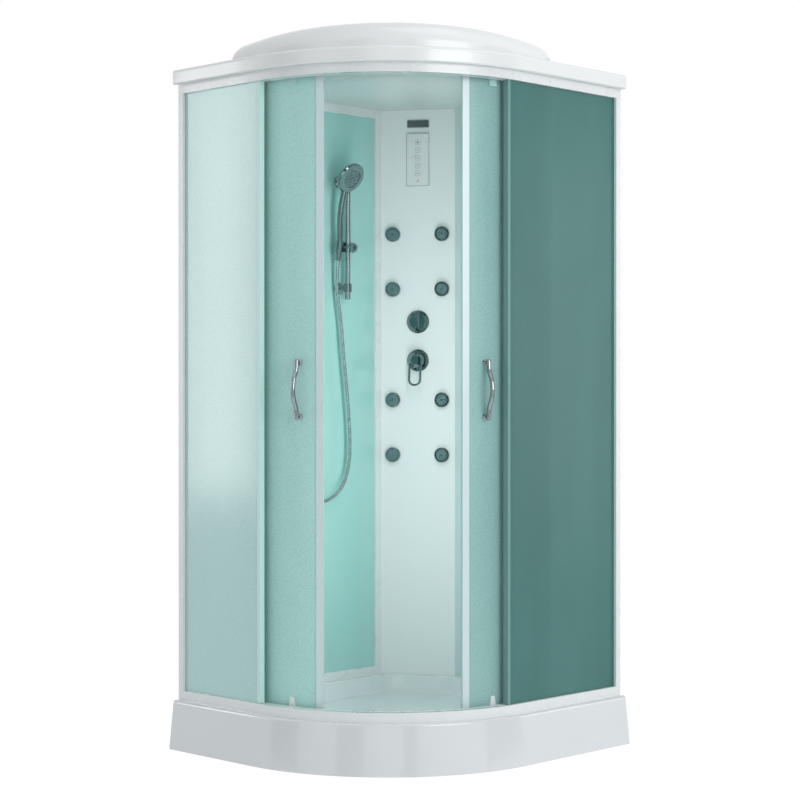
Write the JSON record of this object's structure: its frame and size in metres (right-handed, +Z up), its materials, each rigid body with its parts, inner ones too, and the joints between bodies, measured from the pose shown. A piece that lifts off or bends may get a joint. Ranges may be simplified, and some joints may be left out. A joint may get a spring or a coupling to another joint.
{
  "type": "corner shower cabin",
  "caption": "Quadrant shower cabin with tray, domed roof, curved sliding doors, frosted glass, corner column with body jets, mixer, and a hand shower on a slide bar.",
  "frame": {"origin": "centre of the footprint on the floor", "axes": "+Z up; the room's corner is at -X +Y; the left wall runs along Y at -X, the right wall along X at +Y, and the doors face +X -Y"},
  "size_m": [0.9, 1, 2.05],
  "materials": {
    "white_acrylic": "moulded gloss white",
    "white_profile": "powder coated white",
    "galvanised": "zinc plated",
    "white_plastic": "smooth",
    "grey_plastic": "satin",
    "frosted_glass": "toughened, finely frosted, green",
    "painted_glass": "toughened, painted mint on the back",
    "clear_seal": "translucent strip",
    "chrome_trim": "polished",
    "chromed_plastic": "chromed plastic",
    "bearing_plastic": "white wheel",
    "brass_pipe": "plain",
    "steel_hose": "wound steel hose, polished",
    "jet_face": "soft nozzle face",
    "lamp_lens": "opal"
  },
  "bodies": {
    "cabin": {"tray_basin": "white_acrylic", "tray_frame": "galvanised", "tray_feet": "galvanised", "drain_trap": "white_plastic", "rail_bottom": "white_profile", "rail_top": "white_profile", "jamb_left": "white_profile", "jamb_right": "white_profile", "fixed_glass_left": "frosted_glass", "fixed_glass_right": "frosted_glass", "fixed_seals": "clear_seal", "wall_frame_left": "white_profile", "wall_frame_right": "white_profile", "wall_glass_left": "painted_glass", "wall_glass_right": "painted_glass", "column_panel": "white_acrylic", "control_panel": "white_plastic", "badge_plate": "chrome_trim", "jet_bodies": "chromed_plastic", "diverter_body": "chrome_trim", "mixer_body": "chrome_trim", "slide_bar": "chrome_trim", "bar_brackets": "chrome_trim", "hose": "steel_hose", "hose_outlet": "chrome_trim", "roof_shell": "white_acrylic", "ceiling_panel": "white_plastic", "roof_lamp": "lamp_lens", "fan_housing": "white_plastic", "water_pipes": "brass_pipe"},
    "left_door": {"door_glass_left": "frosted_glass", "door_edge_left": "white_plastic", "handle_left": "chrome_trim", "roller_brackets_left": "white_plastic"},
    "right_door": {"door_glass_right": "frosted_glass", "door_edge_right": "white_plastic", "handle_right": "chrome_trim", "roller_brackets_right": "white_plastic"},
    "wheel_left_front": {"wheel_left_front": "bearing_plastic"},
    "wheel_left_rear": {"wheel_left_rear": "bearing_plastic"},
    "wheel_right_front": {"wheel_right_front": "bearing_plastic"},
    "wheel_right_rear": {"wheel_right_rear": "bearing_plastic"},
    "slider": {"slider": "chromed_plastic"},
    "handset": {"holder": "chromed_plastic", "hand_shower": "chromed_plastic", "spray_face": "jet_face"},
    "diverter_knob": {"diverter_knob": "chrome_trim"},
    "mixer_stem": {"mixer_stem": "chrome_trim"},
    "mixer_lever": {"mixer_lever": "chrome_trim"},
    "fan_rotor": {"fan_rotor": "white_plastic"},
    "drain_cover": {"drain_cover": "chrome_trim"},
    "jet_1": {"jet_head_1": "jet_face"},
    "jet_2": {"jet_head_2": "jet_face"},
    "jet_3": {"jet_head_3": "jet_face"},
    "jet_4": {"jet_head_4": "jet_face"},
    "jet_5": {"jet_head_5": "jet_face"},
    "jet_6": {"jet_head_6": "jet_face"},
    "jet_7": {"jet_head_7": "jet_face"},
    "jet_8": {"jet_head_8": "jet_face"}
  },
  "joints": [
    {"name": "left_door_slide", "type": "hinge", "parent": "cabin", "child": "left_door", "pos_m": [-0.11, 0.11, 1.032], "axis": [0, 0, 1], "range_deg": [0, 20.5]},
    {"name": "right_door_slide", "type": "hinge", "parent": "cabin", "child": "right_door", "pos_m": [-0.19, 0.07, 1.032], "axis": [0, 0, 1], "range_deg": [-21.5, 0]},
    {"name": "wheel_left_front_spin", "type": "hinge", "parent": "left_door", "child": "wheel_left_front", "pos_m": [-0.01276, -0.43087, 1.9093], "axis": [0.2149, -0.9766, 0], "continuous": true},
    {"name": "wheel_left_rear_spin", "type": "hinge", "parent": "left_door", "child": "wheel_left_rear", "pos_m": [-0.17914, -0.43787, 1.9093], "axis": [-0.1321, -0.9912, 0], "continuous": true},
    {"name": "wheel_right_front_spin", "type": "hinge", "parent": "right_door", "child": "wheel_right_front", "pos_m": [0.38407, -0.0161, 1.9093], "axis": [0.9802, -0.1978, 0], "continuous": true},
    {"name": "wheel_right_rear_spin", "type": "hinge", "parent": "right_door", "child": "wheel_right_rear", "pos_m": [0.38815, 0.15038, 1.9093], "axis": [0.9888, 0.1494, 0], "continuous": true},
    {"name": "slider_height", "type": "slide", "parent": "cabin", "child": "slider", "axis": [0, 0, 1], "range_m": [-0.095, 0.17], "deforming": ["hose"]},
    {"name": "holder_tilt", "type": "hinge", "parent": "slider", "child": "handset", "pos_m": [-0.356, 0.091, 1.48], "axis": [0, 1, 0], "range_deg": [-3, 25]},
    {"name": "diverter_turn", "type": "hinge", "parent": "cabin", "child": "diverter_knob", "pos_m": [-0.28086, 0.35764, 1.255], "axis": [0.5571, -0.8304, 0], "range_deg": [-60, 60]},
    {"name": "mixer_swivel", "type": "hinge", "parent": "cabin", "child": "mixer_stem", "pos_m": [-0.27306, 0.34602, 1.133], "axis": [0.5571, -0.8304, 0], "range_deg": [-45, 45]},
    {"name": "mixer_lift", "type": "hinge", "parent": "mixer_stem", "child": "mixer_lever", "pos_m": [-0.27306, 0.34602, 1.133], "axis": [-0.8304, -0.5571, 0], "range_deg": [0, 20]},
    {"name": "jet_1_tilt", "type": "hinge", "parent": "cabin", "child": "jet_1", "pos_m": [-0.34855, 0.31764, 1.531], "axis": [0.8304, 0.5571, 0], "range_deg": [-12, 12]},
    {"name": "jet_2_tilt", "type": "hinge", "parent": "cabin", "child": "jet_2", "pos_m": [-0.21818, 0.40511, 1.531], "axis": [0.8304, 0.5571, 0], "range_deg": [-12, 12]},
    {"name": "jet_3_tilt", "type": "hinge", "parent": "cabin", "child": "jet_3", "pos_m": [-0.34855, 0.31764, 1.3575], "axis": [0.8304, 0.5571, 0], "range_deg": [-12, 12]},
    {"name": "jet_4_tilt", "type": "hinge", "parent": "cabin", "child": "jet_4", "pos_m": [-0.21818, 0.40511, 1.3575], "axis": [0.8304, 0.5571, 0], "range_deg": [-12, 12]},
    {"name": "jet_5_tilt", "type": "hinge", "parent": "cabin", "child": "jet_5", "pos_m": [-0.34855, 0.31764, 1.0085], "axis": [0.8304, 0.5571, 0], "range_deg": [-12, 12]},
    {"name": "jet_6_tilt", "type": "hinge", "parent": "cabin", "child": "jet_6", "pos_m": [-0.21818, 0.40511, 1.0085], "axis": [0.8304, 0.5571, 0], "range_deg": [-12, 12]},
    {"name": "jet_7_tilt", "type": "hinge", "parent": "cabin", "child": "jet_7", "pos_m": [-0.34855, 0.31764, 0.835], "axis": [0.8304, 0.5571, 0], "range_deg": [-12, 12]},
    {"name": "jet_8_tilt", "type": "hinge", "parent": "cabin", "child": "jet_8", "pos_m": [-0.21818, 0.40511, 0.835], "axis": [0.8304, 0.5571, 0], "range_deg": [-12, 12]},
    {"name": "fan_spin", "type": "hinge", "parent": "cabin", "child": "fan_rotor", "pos_m": [0.205, 0.15, 1.94], "axis": [0, 0, 1], "continuous": true},
    {"name": "drain_cover_lift", "type": "slide", "parent": "cabin", "child": "drain_cover", "axis": [0, 0, 1], "range_m": [0, 0.02]}
  ],
  "couplings": [
    {"joint": "wheel_left_front_spin", "follows": "left_door_slide", "ratio": -61.06},
    {"joint": "wheel_left_rear_spin", "follows": "left_door_slide", "ratio": -61.357},
    {"joint": "wheel_right_front_spin", "follows": "right_door_slide", "ratio": -64.498},
    {"joint": "wheel_right_rear_spin", "follows": "right_door_slide", "ratio": -64.857}
  ]
}
